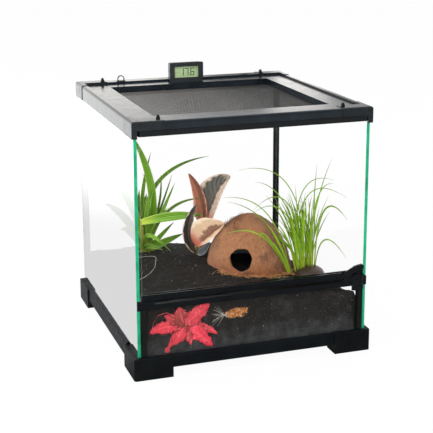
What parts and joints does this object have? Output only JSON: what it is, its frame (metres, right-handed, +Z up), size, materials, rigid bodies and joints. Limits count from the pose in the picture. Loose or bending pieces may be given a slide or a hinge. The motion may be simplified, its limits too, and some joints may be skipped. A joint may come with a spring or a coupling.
{
  "type": "reptile terrarium",
  "caption": "Front-opening framed glass terrarium on feet: hinged door with lever latch, vent strip, lift-off mesh lid with a thermometer, cable gates and a planted floor with a hide.",
  "frame": {"origin": "centre of the footprint, on the surface that the feet stand on", "axes": "+X to the right of someone facing the door, +Y from the door to the rear pane, +Z up"},
  "size_m": [0.3, 0.306, 0.3292],
  "materials": {
    "frame_plastic": "satin black-grey moulding",
    "corner_plastic": "fine-grained dark grey moulding",
    "float_glass": "clear, green edges",
    "silicone": "black, slightly glossy",
    "latch_plastic": "satin black",
    "pin_steel": "plain",
    "coir_soil": "crumbly, damp",
    "coconut_shell": "fibrous",
    "strap_leaf": "soft satin leaf",
    "rubber_leaf": "glossy leaf",
    "grass_blade": "soft satin leaf",
    "red_leaf": "soft satin leaf",
    "brown_foot": "smooth, slightly glossy",
    "root_fibre": "matted fibre",
    "woven_mesh": "grey coated wire",
    "meter_plastic": "satin dark grey",
    "lcd": "reflective liquid-crystal panel",
    "board": "circuit board",
    "cell_steel": "button cells",
    "clip_plastic": "matt black"
  },
  "bodies": {
    "tank": {"base_rail_front": "frame_plastic", "base_rail_rear": "frame_plastic", "base_rail_left": "frame_plastic", "base_rail_right": "frame_plastic", "foot_front_left": "corner_plastic", "foot_front_right": "corner_plastic", "foot_rear_left": "corner_plastic", "foot_rear_right": "corner_plastic", "pane_bottom": "float_glass", "pane_left": "float_glass", "pane_right": "float_glass", "pane_rear": "float_glass", "pane_front_lower": "float_glass", "rear_corner_seals": "silicone", "front_edge_channels": "silicone", "vent_strip": "frame_plastic", "latch_keeper": "latch_plastic", "top_rail_front": "frame_plastic", "top_rail_rear": "frame_plastic", "top_rail_left": "frame_plastic", "top_rail_right": "frame_plastic", "top_corner_front_left": "corner_plastic", "top_corner_front_right": "corner_plastic", "top_corner_rear_left": "corner_plastic", "top_corner_rear_right": "corner_plastic", "substrate": "coir_soil", "coconut_hide": "coconut_shell", "strap_leaf_plant": "strap_leaf", "rubber_leaf_plant": "rubber_leaf", "grass_plant": "grass_blade", "grass_plant_foot": "brown_foot", "red_leaf_plant": "red_leaf", "fibre_plug": "root_fibre"},
    "door": {"door_glass": "float_glass", "door_top_rail": "frame_plastic", "door_bottom_rail": "frame_plastic", "door_hinge_pins": "pin_steel", "latch_housing": "latch_plastic", "latch_pivot_pin": "pin_steel"},
    "latch_lever": {"latch_lever": "latch_plastic"},
    "latch_bolt": {"latch_bolt": "latch_plastic"},
    "lid": {"lid_front": "frame_plastic", "lid_rear": "frame_plastic", "lid_rail_left": "frame_plastic", "lid_rail_right": "frame_plastic", "lid_mesh": "woven_mesh", "mesh_retainer": "frame_plastic", "meter_case": "meter_plastic", "meter_bezel": "meter_plastic", "meter_display": "lcd", "meter_board": "board", "meter_cells": "cell_steel"},
    "lid_clip_front_left": {"lid_clip_front_left": "clip_plastic"},
    "lid_clip_front_right": {"lid_clip_front_right": "clip_plastic"},
    "lid_clip_rear_left": {"lid_clip_rear_left": "clip_plastic"},
    "lid_clip_rear_right": {"lid_clip_rear_right": "clip_plastic"},
    "inlet_gate_left": {"inlet_gate_left": "clip_plastic"},
    "inlet_gate_right": {"inlet_gate_right": "clip_plastic"}
  },
  "joints": [
    {"name": "door_swing", "type": "hinge", "parent": "tank", "child": "door", "pos_m": [-0.1355, -0.1458, 0.196], "axis": [0, 0, -1], "range_deg": [0, 100]},
    {"name": "latch_lever_turn", "type": "hinge", "parent": "door", "child": "latch_lever", "pos_m": [0.1165, -0.1517, 0.102], "axis": [0, 1, 0], "range_deg": [0, 9]},
    {"name": "latch_bolt_slide", "type": "slide", "parent": "door", "child": "latch_bolt", "axis": [0, 0, -1], "range_m": [0, 0.0026]},
    {"name": "lid_lift", "type": "slide", "parent": "tank", "child": "lid", "axis": [0, 0, 1], "range_m": [0, 0.1]},
    {"name": "lid_clip_front_left_slide", "type": "slide", "parent": "tank", "child": "lid_clip_front_left", "axis": [0, 1, 0], "range_m": [0, 0.005]},
    {"name": "lid_clip_front_right_slide", "type": "slide", "parent": "tank", "child": "lid_clip_front_right", "axis": [0, 1, 0], "range_m": [0, 0.005]},
    {"name": "lid_clip_rear_left_slide", "type": "slide", "parent": "tank", "child": "lid_clip_rear_left", "axis": [0, -1, 0], "range_m": [0, 0.005]},
    {"name": "lid_clip_rear_right_slide", "type": "slide", "parent": "tank", "child": "lid_clip_rear_right", "axis": [0, -1, 0], "range_m": [0, 0.005]},
    {"name": "inlet_gate_left_slide", "type": "slide", "parent": "tank", "child": "inlet_gate_left", "axis": [0, 0, 1], "range_m": [-0.007, 0.0015]},
    {"name": "inlet_gate_right_slide", "type": "slide", "parent": "tank", "child": "inlet_gate_right", "axis": [0, 0, 1], "range_m": [0, 0.0085]}
  ],
  "couplings": [
    {"joint": "latch_bolt_slide", "follows": "latch_lever_turn", "m_per_rad": 0.0165}
  ]
}
